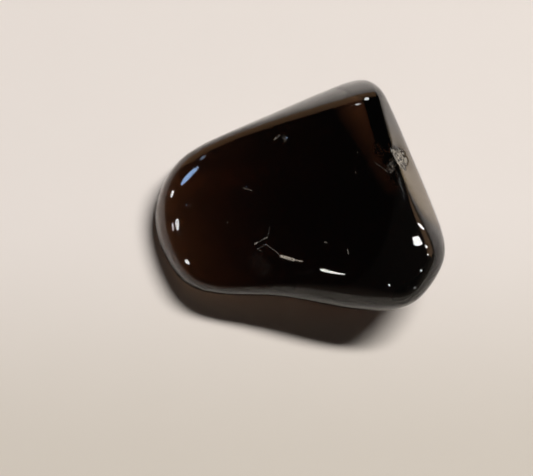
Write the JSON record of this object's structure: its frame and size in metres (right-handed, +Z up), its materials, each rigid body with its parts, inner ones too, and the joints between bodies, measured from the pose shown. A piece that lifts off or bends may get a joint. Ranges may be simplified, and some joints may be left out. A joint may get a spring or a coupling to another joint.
{
  "type": "smoky quartz pocket stone",
  "caption": "Tumbled smoky quartz pebble, a rounded see-through dark brown wedge with a broad sloping main face, a narrow side facet, a chip at its peak and a flat underside to rest on.",
  "frame": {"origin": "on the surface that the stone lies on, within half a millimetre of the middle of its box", "axes": "+Z up out of the surface, +X along the stone's length towards the thick end with the narrow facet, +Y towards its far side"},
  "size_m": [0.0323, 0.0283, 0.0149],
  "materials": {
    "smoky_quartz": "tumble-polished, glossy, dark brown and see-through at thin edges, with one frosty chip"
  },
  "bodies": {
    "root": {"quartz_stone": "smoky_quartz"}
  },
  "joints": []
}
